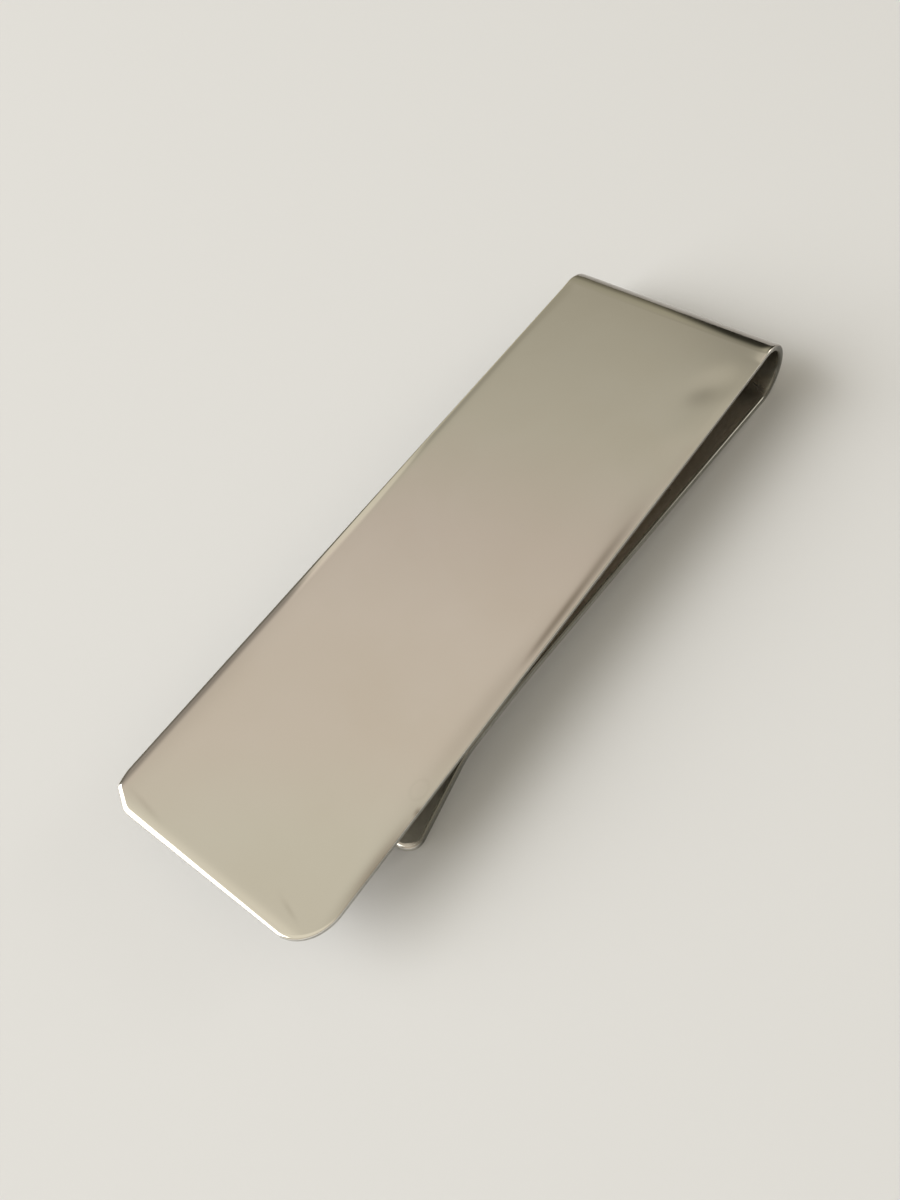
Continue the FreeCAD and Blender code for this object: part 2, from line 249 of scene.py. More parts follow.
def stations():
    """Rows of the mesh between the end corners, closer in the tight bends."""
    cuts = [5.0]
    s = 5.0

    def run_to(end, step):
        nonlocal s
        n = max(1, int(round((end - s) / step)))
        for i in range(1, n + 1):
            cuts.append(s + (end - s) * i / n)
        s = end

    run_to(PLATE - 1.2, 0.30)
    run_to(PLATE, 0.08)
    run_to(S_MID, UPPER * math.radians(1.2))
    run_to(S_LEG, LOWER * math.radians(1.4))
    run_to(S_LEG + 1.0, 0.1)
    run_to(S_LEG + ROOT / 2, 0.3)
    run_to(S_BOW, 0.3)
    run_to(S_CREST - 1.0, 0.25)
    run_to(S_CREST, 0.08)
    run_to(S_LIP, FLARE * math.radians(1.5))
    run_to(S_LIP + 0.8, 0.08)
    run_to(LENGTH - 2.4, 0.2)
    return cuts


CUT_FOLD = S_MID
CUT_LEG = S_LEG + ROOT / 2


def build_strip():
    mids = stations()
    lead = np.linspace(0, 1, 8)[1:-1]
    corner_r = corner(3.3, 2.72, 2.0)  # the plate's free end, -Y side
    # and +Y side, where a flat was filed across the corner
    corner_l = filed_corner([(1.6, 31, 7), (1.30, 0, 4), (0.60, 48, 10), (7.0, 11, 4)], len(corner_r))
    corner_lip = corner(1.5, 1.5, 2.0)
    end_l, end_r = corner_l[-1][0], corner_r[-1][0]
    s_l = [end_l + (5.0 - end_l) * v for v in lead]
    s_r = [end_r + (5.0 - end_r) * v for v in lead]
    tail = [LENGTH - 2.4 + 0.9 * v for v in (0.25, 0.5, 0.75)]
    right = outline_side(corner_r, corner_lip, s_r + mids + tail)
    left = outline_side(corner_l, corner_lip, s_l + mids + tail)
    rows = len(right)
    # columns: fine near the two sides, even in the middle
    near = [0, 0.06, 0.13, 0.22, 0.33, 0.46, 0.62, 0.82, 1.06, 1.36, 1.7, 2.1, 2.5]
    half = [v / (W - 0.7) for v in near]
    middle = list(np.linspace(half[-1], 1 - half[-1], 36)[1:-1])
    cols_v = np.array(half + middle + [1 - v for v in half[::-1]])
    cols = len(cols_v)
    r_edge = [outer_edge(p[0], -1.0) for p in right]
    l_edge = [outer_edge(p[0], 1.0) for p in left]

    def edge_at(i, j):
        v = cols_v[j]
        return tuple(a * (1 - v) + b * v for a, b in zip(r_edge[i], l_edge[i]))

    def face_grid(inset_r, inset_l):
        sides = []
        for side, pts, inset in ((-1, right, inset_r), (1, left, inset_l)):
            p = np.array(pts)
            sides.append(
                np.stack(
                    [p[:, 0] - p[:, 2] * inset, side * (W / 2 + (GROW if side > 0 else 0) - (p[:, 1] - p[:, 3] * inset))],
                    axis=1,
                )
            )
        r, l = sides
        return r[:, None, :] * (1 - cols_v[None, :, None]) + l[:, None, :] * cols_v[None, :, None]

    outer = face_grid(np.array([e[0] for e in r_edge]), np.array([e[0] for e in l_edge]))
    in_edge = [inner_edge(p[0]) for p in right]
    in_width = np.array([e[0] for e in in_edge])
    inner = face_grid(in_width, in_width)

    # closed boundary loop: up the right side, across the lip's end, down the
    # left side, back across the plate's end
    loop = (
        [(i, 0) for i in range(rows)]
        + [(rows - 1, j) for j in range(1, cols)]
        + [(i, cols - 1) for i in range(rows - 2, -1, -1)]
        + [(0, j) for j in range(cols - 2, 0, -1)]
    )
    normals = []
    for i, j in loop:
        if j == 0:
            normals.append((right[i][2], right[i][3]))
        elif j == cols - 1:
            normals.append((left[i][2], -left[i][3]))
        elif i == rows - 1:
            normals.append((1.0, 0.0))
        else:
            normals.append((-1.0, 0.0))
    normals = np.array(normals)
    sizes = np.array([edge_at(i, j) for i, j in loop])
    inner_sizes = np.array([in_edge[i] for i, j in loop])
    # the true outline, on which the rounded edges stand
    base = np.array([outer[i, j] for i, j in loop]) + normals * sizes[:, :1]

    s_list, y_list, n_list, side_list = [], [], [], []

    def add(s, y, n, w):
        first = sum(len(a) for a in s_list)
        s_list.append(np.ravel(s))
        y_list.append(np.ravel(y))
        n_list.append(np.broadcast_to(n, np.shape(s)).ravel().astype(float))
        side_list.append(np.broadcast_to(w, np.shape(s)).ravel().astype(float))
        return first

    o_first = add(outer[..., 0], outer[..., 1], 0.0, 1.0)
    ring_first = []
    steps = 12
    for k in range(1, steps + 1):
        t = math.pi / 2 * k / steps
        e = 2 / sizes[:, 2]
        off = sizes[:, 0] * (math.sin(t) ** e - 1)
        depth = -sizes[:, 1] * (1 - max(math.cos(t), 0.0) ** e)
        p = base + normals * off[:, None]
        ring_first.append(add(p[:, 0], p[:, 1], depth, math.cos(t)))
    for k in range(1, 3):
        depth = -sizes[:, 1] - (T - sizes[:, 1] - inner_sizes[:, 1]) * k / 3
        ring_first.append(add(base[:, 0], base[:, 1], depth, 0.0))
    for k in range(0, 8):
        t = math.pi / 2 * (1 - k / 8)
        p = base + normals * (inner_sizes[:, :1] * (math.sin(t) - 1))
        ring_first.append(add(p[:, 0], p[:, 1], -T + inner_sizes[:, 1] * (1 - math.cos(t)), -math.cos(t)))
    i_first = add(inner[..., 0], inner[..., 1], -T, -1.0)

    s = np.concatenate(s_list)
    y = np.concatenate(y_list)
    n = np.concatenate(n_list)
    w = np.concatenate(side_list)
    n = n + swell(s, y) + buffing(s, y) * w
    x3, y3, z3 = lay_out(s, y, n)
    co = row(x3, y3, z3)

    faces, tags, zones = [], [], []

    def grid_faces(first, flip):
        for i in range(rows - 1):
            for j in range(cols - 1):
                a = first + i * cols + j
                b = a + 1
                c = a + cols + 1
                d = a + cols
                faces.append((a, b, c, d) if flip else (a, d, c, b))
                tags.append(i)

    grid_faces(o_first, False)
    zones += [0] * len(faces)
    grid_faces(i_first, True)
    zones += [2] * (len(faces) - len(zones))
    rings = [[o_first + i * cols + j for i, j in loop]]
    count = len(loop)
    for f in ring_first:
        rings.append([f + q for q in range(count)])
    rings.append([i_first + i * cols + j for i, j in loop])
    loop_row = []
    for q in range(count):
        (i0, j0), (i1, j1) = loop[q], loop[(q + 1) % count]
        loop_row.append(min(i0, i1) if i0 != i1 else (0 if i0 == 0 else rows - 2))
    for k in range(len(rings) - 1):
        r0, r1 = rings[k], rings[k + 1]
        for q in range(count):
            q2 = (q + 1) % count
            faces.append((r0[q], r1[q], r1[q2], r0[q2]))
            tags.append(loop_row[q])
            # outer side with its rounded edge, side wall, inner side with its
            zones.append(0 if k < steps else (1 if k < steps + 3 else 3))
    row_s = np.array([p[0] for p in right])
    return {
        "co": co,
        "s": s,
        "y": y,
        "w": w,
        "faces": np.array(faces),
        "tags": np.array(tags),
        "zones": np.array(zones),
        "row_s": row_s,
        "rows": rows,
        "cols": cols,
        "rings": rings,
        "loop": loop,
        "o_first": o_first,
        "i_first": i_first,
    }


strip = build_strip()
co, faces = strip["co"], strip["faces"]

# outward test: flip everything if the closed mesh is inside out
tri = np.concatenate([faces[:, [0, 1, 2]], faces[:, [0, 2, 3]]])
vol = np.einsum("ij,ij->i", co[tri[:, 0]], np.cross(co[tri[:, 1]], co[tri[:, 2]])).sum() / 6
if vol < 0:
    faces = faces[:, ::-1]
    strip["faces"] = faces
print("strip volume mm3", abs(vol) * 1e9, "vertices", len(co), "faces", len(faces))

# smooth normals of the whole strip, weighted by corner angle
normal = np.zeros_like(co)
for k in range(4):
    p, q, r = co[faces[:, k]], co[faces[:, (k + 1) % 4]], co[faces[:, (k + 3) % 4]]
    u, v = q - p, r - p
    c = np.cross(u, v)
    lc = np.linalg.norm(c, axis=1)
    ang = np.arctan2(lc, np.einsum("ij,ij->i", u, v))
    np.add.at(normal, faces[:, k], c / np.maximum(lc, 1e-30)[:, None] * ang[:, None])
normal /= np.linalg.norm(normal, axis=1)[:, None]


def cut_row(at):
    return int(np.argmin(np.abs(strip["row_s"] - at)))


def cross_section(i):
    """Vertices of the strip's cross-section at row i, in order round it."""
    cols, rings, loop = strip["cols"], strip["rings"], strip["loop"]
    where = {p: q for q, p in enumerate(loop)}
    top = [strip["o_first"] + i * cols + j for j in range(cols)]
    q_left, q_right = where[(i, cols - 1)], where[(i, 0)]
    down = [r[q_left] for r in rings[1:-1]]
    bottom = [strip["i_first"] + i * cols + j for j in range(cols - 1, -1, -1)]
    up = [r[q_right] for r in rings[1:-1]][::-1]
    return top + down + bottom + up


def make_piece(name, i0, i1):
    """Rows i0 to i1 of the strip as a closed mesh with exact smooth normals."""
    keep = (strip["tags"] >= i0) & (strip["tags"] < i1)
    used = [tuple(int(v) for v in f) for f in faces[keep]]
    shift = [(0.0, 0.10, 0.05, 0.15)[z] for z in strip["zones"][keep] for _ in range(4)]
    caps = []
    centre = {}
    for i, inwards in ((i0, -1), (i1, 1)):
        if 0 < i < strip["rows"] - 1:
            caps.append((i, cross_section(i), inwards))
    index = {}
    for f in used:
        for v in f:
            index.setdefault(v, len(index))
    verts = [None] * len(index)
    for old, new in index.items():
        verts[new] = tuple(co[old])
    polys = [tuple(index[v] for v in f) for f in used]
    loop_normals = []
    for f in used:
        loop_normals.extend(tuple(normal[v]) for v in f)
    for i, section, inwards in caps:
        pts = co[section]
        c = pts.mean(axis=0)
        nrm = np.zeros(3)
        for a, b in zip(pts, np.roll(pts, -1, axis=0)):
            nrm += np.cross(a - c, b - c)
        nrm /= np.linalg.norm(nrm)
        # outward at a cut: away from the piece's own rows
        k = i - 1 if inwards == 1 else i + 1
        mid = co[strip["o_first"] + k * strip["cols"] + strip["cols"] // 2]
        here = co[strip["o_first"] + i * strip["cols"] + strip["cols"] // 2]
        order = list(section)
        if np.dot(nrm, here - mid) < 0:
            order = order[::-1]
            nrm = -nrm
        # one polygon closes the cut across the whole cross-section
        polys.append(tuple(index[v] for v in order))
        loop_normals.extend([tuple(nrm)] * len(order))
        shift.extend([0.05] * len(order))
    me = bpy.data.meshes.new(name)
    me.from_pydata(verts, [], polys)
    me.update()
    inverse = np.empty(len(index), int)
    for old, new in index.items():
        inverse[new] = old
    uv = me.uv_layers.new(name="strip")
    vi = np.empty(len(me.loops), np.int32)
    me.loops.foreach_get("vertex_index", vi)
    src = inverse[vi]
    us = strip["s"][src] / 1000.0
    vs = strip["y"][src] / 1000.0
    # side walls and inner side each have their own stretch of the map
    vs = vs + np.array(shift)
    uv.data.foreach_set("uv", np.stack([us, vs], axis=1).astype(np.float32).ravel())
    me.shade_smooth()
    me.normals_split_custom_set([Vector(v) for v in loop_normals])
    ob = bpy.data.objects.new(name, me)
    bpy.context.scene.collection.objects.link(ob)
    return ob


r_fold, r_leg = cut_row(CUT_FOLD), cut_row(CUT_LEG)
plate_piece = make_piece("plate_and_upper_fold", 0, r_fold)
fold_piece = make_piece("lower_fold_and_leg_root", r_fold, r_leg)
leg_piece = make_piece("leg_crest_and_lip", r_leg, strip["rows"] - 1)

# ------------------------------------------------------------ polished silver


def silver_material():
    mat = bpy.data.materials.new("polished_silver")
    mat.use_nodes = True
    nt = mat.node_tree
    nt.nodes.clear()
    link = nt.links.new

    def node(kind, **props):
        n = nt.nodes.new(kind)
        for k, v in props.items():
            setattr(n, k, v)
        return n

    def put(value, socket):
        if isinstance(value, (int, float)):
            socket.default_value = value
        elif isinstance(value, tuple):
            socket.default_value = value
        else:
            link(value, socket)

    out = node("ShaderNodeOutputMaterial")
    bsdf = node("ShaderNodeBsdfPrincipled")
    link(bsdf.outputs["BSDF"], out.inputs["Surface"])
    bsdf.inputs["Metallic"].default_value = 1.0
    uv = node("ShaderNodeUVMap", uv_map="strip").outputs["UV"]

    def mapped(scale, rot=0.0, move=(0.0, 0.0, 0.0)):
        m = node("ShaderNodeMapping")
        m.inputs["Scale"].default_value = scale
        m.inputs["Rotation"].default_value = (0, 0, rot)
        m.inputs["Location"].default_value = move
        link(uv, m.inputs["Vector"])
        return m.outputs["Vector"]

    def noise(vec, scale, detail=2.0, rough=0.5, dist=0.0):
        n = node("ShaderNodeTexNoise")
        n.inputs["Scale"].default_value = scale
        n.inputs["Detail"].default_value = detail
        n.inputs["Roughness"].default_value = rough
        n.inputs["Distortion"].default_value = dist
        link(vec, n.inputs["Vector"])
        return n.outputs["Fac"]

    def ramp(fac, lo, hi, a, b):
        r = node("ShaderNodeMapRange")
        r.inputs["From Min"].default_value = lo
        r.inputs["From Max"].default_value = hi
        r.inputs["To Min"].default_value = a
        r.inputs["To Max"].default_value = b
        link(fac, r.inputs["Value"])
        return r.outputs["Result"]

    def calc(op, a, b=0.0, c=0.0):
        m = node("ShaderNodeMath", operation=op)
        for i, v in enumerate((a, b, c)[: len(m.inputs)]):
            put(v, m.inputs[i])
        return m.outputs[0]

    def mix(fac, a, b, kind="RGBA", blend="MIX"):
        m = node("ShaderNodeMix", data_type=kind)
        if kind == "RGBA":
            m.blend_type = blend
            put(fac, m.inputs[0])
            put(a, m.inputs[6])
            put(b, m.inputs[7])
            return m.outputs[2]
        put(fac, m.inputs[0])
        put(a, m.inputs[2])
        put(b, m.inputs[3])
        return m.outputs[0]

    axes = node("ShaderNodeSeparateXYZ")
    link(uv, axes.inputs["Vector"])
    along, across = axes.outputs["X"], axes.outputs["Y"]
    # the inner side has its own stretch of the map past 30 mm, the side
    # walls past 80 mm, and the inner side's rounded edge past 130 mm
    inside = ramp(across, 0.0300, 0.0301, 0.0, 1.0)
    wall = ramp(across, 0.0800, 0.0801, 0.0, 1.0)
    arris = ramp(across, 0.1300, 0.1301, 0.0, 1.0)

    def spot(s0, y0, a, b, amount, lean=0.0, ring=False):
        """Soft oval mark on the outer side, millimetres. ring keeps only its
        outline."""
        v = calc("SUBTRACT", across, y0 / 1000)
        u = calc("SUBTRACT", calc("SUBTRACT", along, s0 / 1000), calc("MULTIPLY", v, lean))
        u = calc("MULTIPLY", u, 1000 / a)
        v = calc("MULTIPLY", v, 1000 / b)
        r2 = calc("ADD", calc("MULTIPLY", u, u), calc("MULTIPLY", v, v))
        if ring:
            q = calc("MULTIPLY", calc("SUBTRACT", calc("SQRT", r2), 1.0), 5.0)
            r2 = calc("MULTIPLY", q, q)
        return calc("MULTIPLY", calc("POWER", 2.718, calc("MULTIPLY", r2, -1.0)), amount)

    # ---- colour: clean silver, a faint warm film in soft clouds, a few darker
    # marks, a painted dark reflection on the +Y margin, painted shade on the
    # fold with a brown tarnish tint, and a darker, unpolished grey inside, with
    # painted shade in the fold's hollow, on the lip, the side walls and the inner edge
    clouds = noise(mapped((1, 1, 1)), 95.0, 3.0, 0.55, 0.4)
    clean = mix(ramp(clouds, 0.35, 0.7, 0.0, 1.0), (0.955, 0.935, 0.895, 1), (0.930, 0.904, 0.850, 1))
    marks = spot(28.6, -9.02, 3.6, 0.28, 0.62)
    for mark in (
        (25.6, -9.05, 1.6, 0.22, 0.20),
        (33.6, -8.98, 4.2, 0.34, 0.38),
        (20.0, -8.95, 9.0, 0.85, 0.23),
        (38.2, -8.70, 3.2, 1.00, 0.14),
        (34.8, -9.00, 2.6, 0.55, 0.16),
        (45.5, -9.20, 3.5, 0.40, 0.12),
        (6.8, -9.50, 3.8, 0.50, 0.70),
        # painted dark reflection along the +Y margin near the free end
        (9.5, 9.00, 9.0, 1.20, 0.15),
        (51.6, -7.2, 1.3, 0.9, 0.10),
        (11.2, -9.42, 0.32, 0.16, 0.50),
        (1.22, 6.45, 0.20, 1.5, 0.16, 0.143),
        (1.60, -6.6, 0.18, 0.8, 0.17, 0.297),
        (12.5, -8.6, 0.75, 0.55, 0.035, 0.0, True),
    ):
        marks = calc("ADD", marks, spot(*mark))
    marked_and_shaded = mix(marks, clean, (0.36, 0.32, 0.27, 1))
    streaks = noise(mapped((1, 9, 1), 0.0, (0, 0.2, 0)), 160.0, 3.0, 0.6, 0.3)
    # painted shade: the fold's outer band is darkened to stand in for a darker reflection, and tinted brown as
    # tarnish
    bend = calc("MULTIPLY", ramp(along, 0.0580, 0.0587, 0.0, 1.0), ramp(along, 0.0655, 0.0672, 1.0, 0.0))
    outside = mix(calc("MULTIPLY", bend, ramp(streaks, 0.3, 0.75, 0.70, 1.0)), marked_and_shaded, (0.56, 0.515, 0.465, 1))
    # painted shade: the crest of the fold is darkened further, standing in for a darker reflection
    crown = calc("MULTIPLY", ramp(along, 0.0585, 0.0589, 0.0, 1.0), ramp(along, 0.0606, 0.0624, 1.0, 0.0))
    outside = mix(calc("MULTIPLY", crown, ramp(streaks, 0.3, 0.75, 0.80, 1.0)), outside, (0.27, 0.24, 0.21, 1))
    blotch = noise(mapped((1, 1, 1), 0.0, (0.3, 0.1, 0)), 300.0, 4.0, 0.6, 0.6)
    dull_and_shade = mix(ramp(blotch, 0.35, 0.68, 0.0, 1.0), (0.88, 0.83, 0.75, 1), (0.64, 0.585, 0.51, 1))
    # painted shade in the hollow inside the fold, between the plate and the leg
    hollow = calc("MULTIPLY", ramp(along, 0.0575, 0.0600, 0.0, 1.0), ramp(along, 0.0645, 0.0690, 1.0, 0.0))
    dull_and_shade = mix(hollow, dull_and_shade, mix(ramp(blotch, 0.35, 0.68, 0.0, 1.0), (0.40, 0.39, 0.35, 1), (0.24, 0.23, 0.20, 1)))
    # painted shade on the lip, standing in for the dark surroundings it mirrors
    lip = ramp(along, 0.1070, 0.1092, 0.0, 1.0)
    dull_and_shade = mix(lip, dull_and_shade, mix(ramp(blotch, 0.35, 0.68, 0.0, 1.0), (0.23, 0.226, 0.20, 1), (0.15, 0.146, 0.128, 1)))
    tip = ramp(along, 0.1150, 0.1158, 1.0, 0.0)
    # painted shade: the inner side's rounded edge is darkened to damp the light line it mirrors, and stays lighter
    # at the lip's end
    arris_shade = mix(ramp(blotch, 0.3, 0.7, 0.0, 1.0), (0.31, 0.305, 0.28, 1), (0.22, 0.215, 0.195, 1))
    arris_shade = mix(tip, (0.74, 0.72, 0.67, 1), arris_shade)
    # side walls: an unpolished sheared edge with drag lines, also painted darker as shade
    drag = noise(mapped((900, 40, 1), 0.0), 3.0, 2.0, 0.6)
    wall_dull_and_shade = mix(ramp(drag, 0.3, 0.7, 0.0, 1.0), (0.46, 0.45, 0.41, 1), (0.33, 0.32, 0.285, 1))
    # painted shade, nearly black, on the walls in the fold's hollow and on the lip
    deep_shade = calc("MAXIMUM", calc("MULTIPLY", hollow, 0.90), calc("MULTIPLY", lip, 0.75))
    wall_dull_and_shade = mix(deep_shade, wall_dull_and_shade, (0.09, 0.086, 0.075, 1))
    # nearly black painted shade on this edge in the fold's hollow and on the lip
    arris_shade = mix(calc("MULTIPLY", deep_shade, tip), arris_shade, (0.16, 0.155, 0.135, 1))
    colour = mix(wall, mix(inside, outside, dull_and_shade), wall_dull_and_shade)
    link(mix(arris, colour, arris_shade), bsdf.inputs["Base Color"])

    # ---- roughness: mirror polish with wiped smears and handling haze
    smear = noise(mapped((1, 3.2, 1), 0.5), 120.0, 4.0, 0.6, 0.8)
    haze = noise(mapped((1, 1, 1)), 260.0, 2.0, 0.5, 0.2)
    fine = noise(mapped((60, 1400, 1)), 6.0, 2.0, 0.6)
    rough = calc("ADD", ramp(smear, 0.42, 0.72, 0.035, 0.075), ramp(haze, 0.5, 0.8, 0.0, 0.03))
    rough = calc("ADD", rough, ramp(fine, 0.62, 0.8, 0.0, 0.02))
    rough = calc("ADD", rough, calc("MULTIPLY", marks, 0.25))
    rough = calc("ADD", rough, calc("MULTIPLY", bend, 0.09))
    rough_in = ramp(blotch, 0.3, 0.7, 0.24, 0.38)
    rough_wall = ramp(drag, 0.3, 0.7, 0.16, 0.28)
    rough = mix(wall, mix(inside, rough, rough_in, "FLOAT"), rough_wall, "FLOAT")
    link(mix(arris, rough, 0.14, "FLOAT"), bsdf.inputs["Roughness"])

    # ---- relief: hairlines left by the polishing cloth, a few handling
    # scratches, and the softest orange-peel of hand polishing
    hair1 = noise(mapped((40, 2600, 1), 0.02), 5.0, 1.0, 0.5)
    hair2 = noise(mapped((1900, 60, 1), 0.35), 4.0, 1.0, 0.5)
    peel = noise(mapped((1, 1, 1)), 420.0, 2.0, 0.5)
    lines = calc("MULTIPLY", ramp(hair1, 0.66, 0.78, 0.0, 1.0), 0.4)
    lines = calc("ADD", lines, calc("MULTIPLY", ramp(hair2, 0.70, 0.80, 0.0, 1.0), 0.3))
    relief = calc("ADD", lines, calc("MULTIPLY", peel, 1.2))
    relief = mix(inside, relief, calc("MULTIPLY", blotch, 1.5), "FLOAT")
    relief = mix(wall, relief, drag, "FLOAT")
    bump = node("ShaderNodeBump")
    bump.inputs["Strength"].default_value = 0.25
    bump.inputs["Distance"].default_value = 1.2e-6
    link(relief, bump.inputs["Height"])
    link(bump.outputs["Normal"], bsdf.inputs["Normal"])
    return mat


silver = silver_material()
for ob in (plate_piece, fold_piece, leg_piece):
    ob.data.materials.append(silver)
for n in frame["nodes"].values():
    n.data.materials.clear()
    n.data.materials.append(silver)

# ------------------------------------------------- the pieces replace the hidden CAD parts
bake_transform(plate_piece)
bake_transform(fold_piece)
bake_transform(leg_piece)
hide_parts("face_plate", "spring_fold")
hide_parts("leg_root")
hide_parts("leg_span", "grip_crest", "lead_in_lip")

# ------------------------------------------------------------------- stage
floor_me = bpy.data.meshes.new("floor")
S = 3.0
floor_me.from_pydata([(-S, -S, 0), (S, -S, 0), (S, S, 0), (-S, S, 0)], [], [(0, 1, 2, 3)])
floor = bpy.data.objects.new("floor", floor_me)
floor.location = (0, 0, -0.00002)
bpy.context.scene.collection.objects.link(floor)
fm = bpy.data.materials.new("floor_paper")
fm.use_nodes = True
fb = fm.node_tree.nodes["Principled BSDF"]
fb.inputs["Base Color"].default_value = (0.640, 0.650, 0.665, 1)
fb.inputs["Roughness"].default_value = 0.9
fb.inputs["Specular IOR Level"].default_value = 0.2
floor_me.materials.append(fm)

# Soft studio surround, as a direction-by-direction tone that a polished plate
# mirrors: warm and bright overhead and towards -X, falling off towards +X, and
# a dark flag low on the +X side.
world = bpy.data.worlds.new("studio")
bpy.context.scene.world = world
world.use_nodes = True
wt = world.node_tree
wt.nodes.clear()


def wnode(kind, **props):
    n = wt.nodes.new(kind)
    for k, v in props.items():
        setattr(n, k, v)
    return n


def wmath(op, a, b=0.0, c=0.0):
    m = wnode("ShaderNodeMath", operation=op)
    for i, v in enumerate((a, b, c)[: len(m.inputs)]):
        if isinstance(v, (int, float)):
            m.inputs[i].default_value = v
        else:
            wt.links.new(v, m.inputs[i])
    return m.outputs[0]


def wsmooth(value, e0, e1):
    r = wnode("ShaderNodeMapRange", interpolation_type="SMOOTHSTEP")
    r.inputs["From Min"].default_value = e0
    r.inputs["From Max"].default_value = e1
    wt.links.new(value, r.inputs["Value"])
    return r.outputs["Result"]


def wdot(vector):
    d = wnode("ShaderNodeVectorMath", operation="DOT_PRODUCT")
    d.inputs[1].default_value = vector
    wt.links.new(coord, d.inputs[0])
    return d.outputs["Value"]


coord = wnode("ShaderNodeTexCoord").outputs["Generated"]
LOW, HIGH = -1.15, 1.15
ramp = wnode("ShaderNodeValToRGB")
stops = [
    (-1.15, (0.060, 0.054, 0.042)),
    (-0.56, (0.115, 0.107, 0.078)),
    (-0.44, (0.172, 0.160, 0.115)),
    (-0.335, (0.197, 0.184, 0.133)),
    (-0.23, (0.235, 0.219, 0.159)),
    (-0.148, (0.270, 0.252, 0.184)),
    (-0.046, (0.302, 0.281, 0.206)),
    (0.20, (0.322, 0.299, 0.226)),
    (0.3335, (0.330, 0.304, 0.236)),
    (0.364, (0.362, 0.336, 0.265)),
    (0.401, (0.381, 0.354, 0.281)),
    (0.485, (0.428, 0.395, 0.318)),
    (0.59, (0.498, 0.434, 0.369)),
    (0.68, (0.548, 0.481, 0.407)),
    (0.782, (0.560, 0.494, 0.413)),
    (0.8525, (0.556, 0.518, 0.424)),
    (1.15, (0.560, 0.522, 0.430)),
]
ramp.color_ramp.interpolation = "LINEAR"
while len(ramp.color_ramp.elements) < len(stops):
    ramp.color_ramp.elements.new(0.5)
for e, (u, c) in zip(ramp.color_ramp.elements, stops):
    e.position = (u - LOW) / (HIGH - LOW)
for e, (u, c) in zip(ramp.color_ramp.elements, stops):
    e.position = (u - LOW) / (HIGH - LOW)
    e.color = (*c, 1)
span = wnode("ShaderNodeMapRange")
span.inputs["From Min"].default_value = LOW
span.inputs["From Max"].default_value = HIGH
wt.links.new(wdot((-0.55, 0.0, 1.0)), span.inputs["Value"])
wt.links.new(span.outputs["Result"], ramp.inputs["Fac"])

dx, dy, dz = wdot((1, 0, 0)), wdot((0, 1, 0)), wdot((0, 0, 1))
# the flag: its upper edge slants, and it ends towards -Y
lean = wmath("ADD", dy, wmath("MULTIPLY", dz, 0.075))
flag = wmath("MULTIPLY", wmath("SUBTRACT", 1.0, wsmooth(lean, 0.333, 0.403)), wmath("SUBTRACT", 1.0, wsmooth(dz, 0.36, 0.74)))
flag = wmath("MULTIPLY", flag, wsmooth(dx, 0.0, 0.45))
flag = wmath("MULTIPLY", flag, wsmooth(dy, -0.20, 0.12))
shade = wmath("SUBTRACT", 1.0, wmath("MULTIPLY", flag, 0.86))
# what the plate's two margins mirror, by the angle round the X axis. The +Y
# margin, from the near end to the far one: dark, then a bright window, then
# grey. The -Y margin towards the fold: a little brighter.
phi = wmath("MULTIPLY", wmath("ARCTAN2", dy, dz), 180 / math.pi)
beyond = wmath("SUBTRACT", phi, 36.0)
near_side = wmath("SUBTRACT", dx, wmath("MULTIPLY", beyond, 0.0055))
far_side = wmath("SUBTRACT", dx, wmath("MULTIPLY", beyond, 0.0110))
dark = wmath("MULTIPLY", wmath("SUBTRACT", 1.0, wsmooth(near_side, 0.205, 0.260)), 0.60)
fade = wmath("SUBTRACT", 0.28, wmath("MULTIPLY", wsmooth(dx, 0.44, 0.58), 0.22))
dark = wmath("ADD", dark, wmath("MULTIPLY", wsmooth(far_side, 0.325, 0.375), fade))
side = wmath("MULTIPLY", dark, wsmooth(phi, 37.0, 46.0))
window = wmath("MULTIPLY", wsmooth(near_side, 0.210, 0.268), wmath("SUBTRACT", 1.0, wsmooth(far_side, 0.312, 0.362)))
window = wmath("MULTIPLY", window, wmath("MULTIPLY", wsmooth(phi, 35.5, 42.5), 0.42))
edge = wmath("MULTIPLY", wsmooth(dx, 0.42, 0.52), wmath("SUBTRACT", 1.0, wsmooth(phi, 13.0, 19.5)))
edge = wmath("MULTIPLY", edge, wmath("SUBTRACT", 1.0, wsmooth(dx, 0.585, 0.635)))
dim = wmath("MULTIPLY", wsmooth(dx, 0.585, 0.650), wmath("SUBTRACT", 1.0, wsmooth(phi, 21.0, 33.0)))
side = wmath("SUBTRACT", side, wmath("MULTIPLY", edge, 0.06))
side = wmath("ADD", side, wmath("MULTIPLY", dim, 0.24))
side = wmath("SUBTRACT", window, side)
shade = wmath("MULTIPLY", shade, wmath("ADD", side, 1.0))
# more light towards -X, beyond the near end
near = wmath("MULTIPLY", wsmooth(wmath("MULTIPLY", dx, -1.0), -0.02, 0.12), wsmooth(dz, 0.4, 0.7))
shade = wmath("MULTIPLY", shade, wmath("ADD", wmath("MULTIPLY", near, 0.30), 1.0))
total = wnode("ShaderNodeVectorMath", operation="SCALE")
wt.links.new(ramp.outputs["Color"], total.inputs[0])
wt.links.new(shade, total.inputs["Scale"])
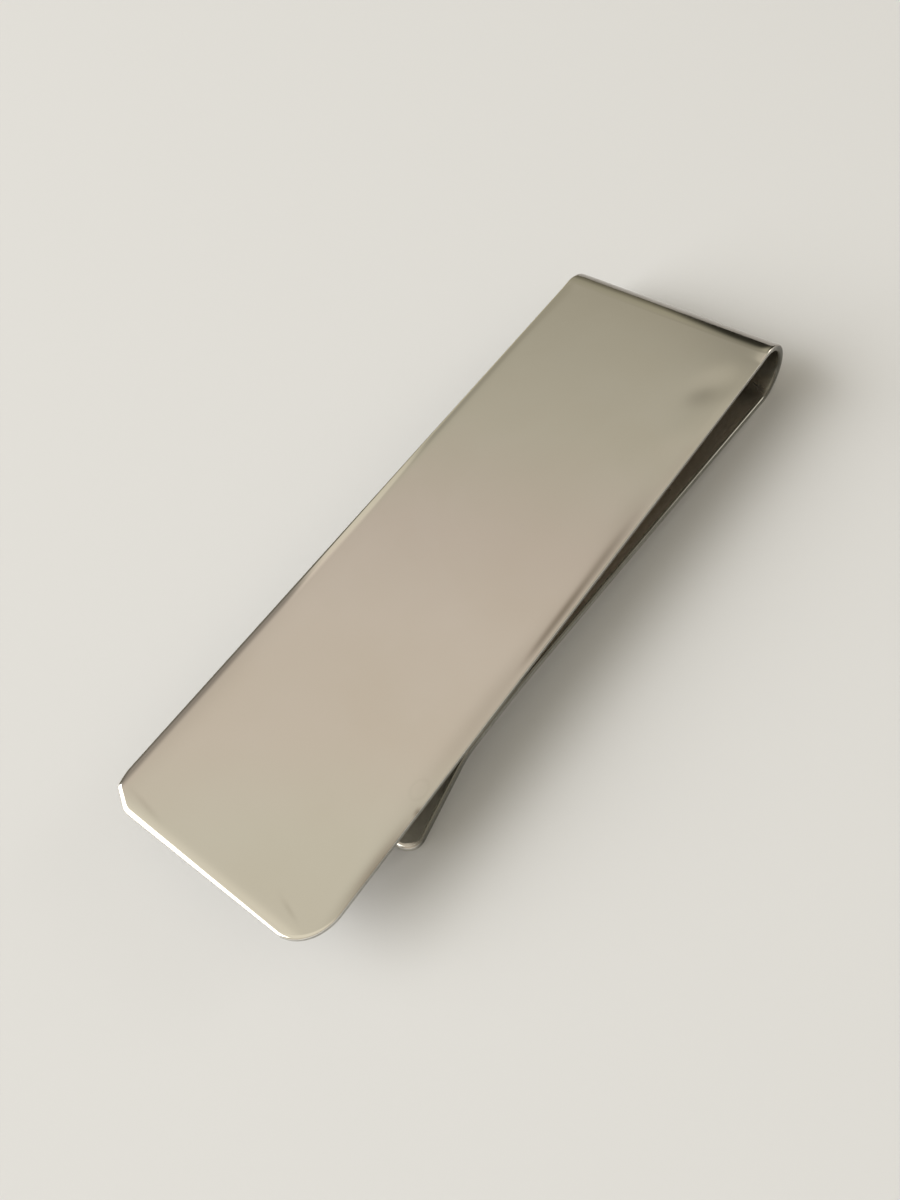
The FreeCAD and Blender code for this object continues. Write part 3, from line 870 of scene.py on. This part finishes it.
# a small bright window low on the +X side, which the far right corner mirrors
spark = wmath("SUBTRACT", wdot(tuple(Vector((0.80, -0.45, 0.38)).normalized())), 1.0)
spark = wmath("MULTIPLY", wmath("POWER", 2.718, wmath("MULTIPLY", spark, 75.0)), 3.6)
tint = wnode("ShaderNodeVectorMath", operation="SCALE")
tint.inputs[0].default_value = (1.0, 0.96, 0.88)
wt.links.new(spark, tint.inputs["Scale"])
both = wnode("ShaderNodeVectorMath", operation="ADD")
wt.links.new(total.outputs[0], both.inputs[0])
wt.links.new(tint.outputs[0], both.inputs[1])
bg = wnode("ShaderNodeBackground")
wt.links.new(both.outputs[0], bg.inputs["Color"])
bg2 = wnode("ShaderNodeBackground")
bg2.inputs["Color"].default_value = (0.62, 0.61, 0.59, 1)
path = wnode("ShaderNodeLightPath")
mixw = wnode("ShaderNodeMixShader")
w_out = wnode("ShaderNodeOutputWorld")
wt.links.new(path.outputs["Is Camera Ray"], mixw.inputs["Fac"])
wt.links.new(bg.outputs["Background"], mixw.inputs[1])
wt.links.new(bg2.outputs["Background"], mixw.inputs[2])
wt.links.new(mixw.outputs["Shader"], w_out.inputs["Surface"])


def softbox(name, toward, distance, size, power, colour):
    light = bpy.data.lights.new(name, "AREA")
    light.shape = "RECTANGLE"
    light.size, light.size_y = size
    light.energy = power
    light.color = colour
    ob = bpy.data.objects.new(name, light)
    d = Vector(toward).normalized()
    ob.location = d * distance
    ob.rotation_mode = "QUATERNION"
    ob.rotation_quaternion = (-d).to_track_quat("-Z", "Y")
    ob.visible_camera = False
    bpy.context.scene.collection.objects.link(ob)
    return ob


# the key lights the floor and gives the soft shadow; the strip light is what the
# plate's near edge mirrors
key = softbox("key_softbox", (-0.72, 0.50, 0.48), 1.8, (1.5, 1.24), 30.4, (1.0, 0.985, 0.96))
key.visible_glossy = False
softbox("strip_softbox", (-0.60, 0.62, 0.48), 1.8, (2.2, 1.52), 22.4, (1.0, 0.985, 0.95))

# ------------------------------------------------------------------- camera
# Pose and lens solved from the plate's own proportions, in the plate frame.
C = np.array([-1.92, -24.94, 63.93])
right = np.array([0.5943, -0.7893, -0.1535])
up = np.array([0.7219, 0.4397, 0.5344])
back = np.array([-0.3543, -0.4285, 0.8311])


def turn(v):
    return Vector((v[0] * ct - v[2] * st, v[1], v[0] * st + v[2] * ct))


cam_data = bpy.data.cameras.new("camera")
cam = bpy.data.objects.new("camera", cam_data)
bpy.context.scene.collection.objects.link(cam)
pos = row(np.array(C[0]), np.array(C[1] - W / 2), np.array(C[2]))
rows_ = [turn(right), turn(up), turn(back)]
m = Matrix.Identity(4)
for k in range(3):
    for q in range(3):
        m[q][k] = rows_[k][q]
    m[k][3] = float(pos[k])
cam.matrix_world = m
cam_data.sensor_fit = "AUTO"
cam_data.sensor_width = 36.0
cam_data.lens = 1060.0 / 1200.0 * 36.0
cam_data.clip_start = 0.002
cam_data.clip_end = 20.0
bpy.context.scene.camera = cam
bpy.context.scene.view_settings.view_transform = "Standard"
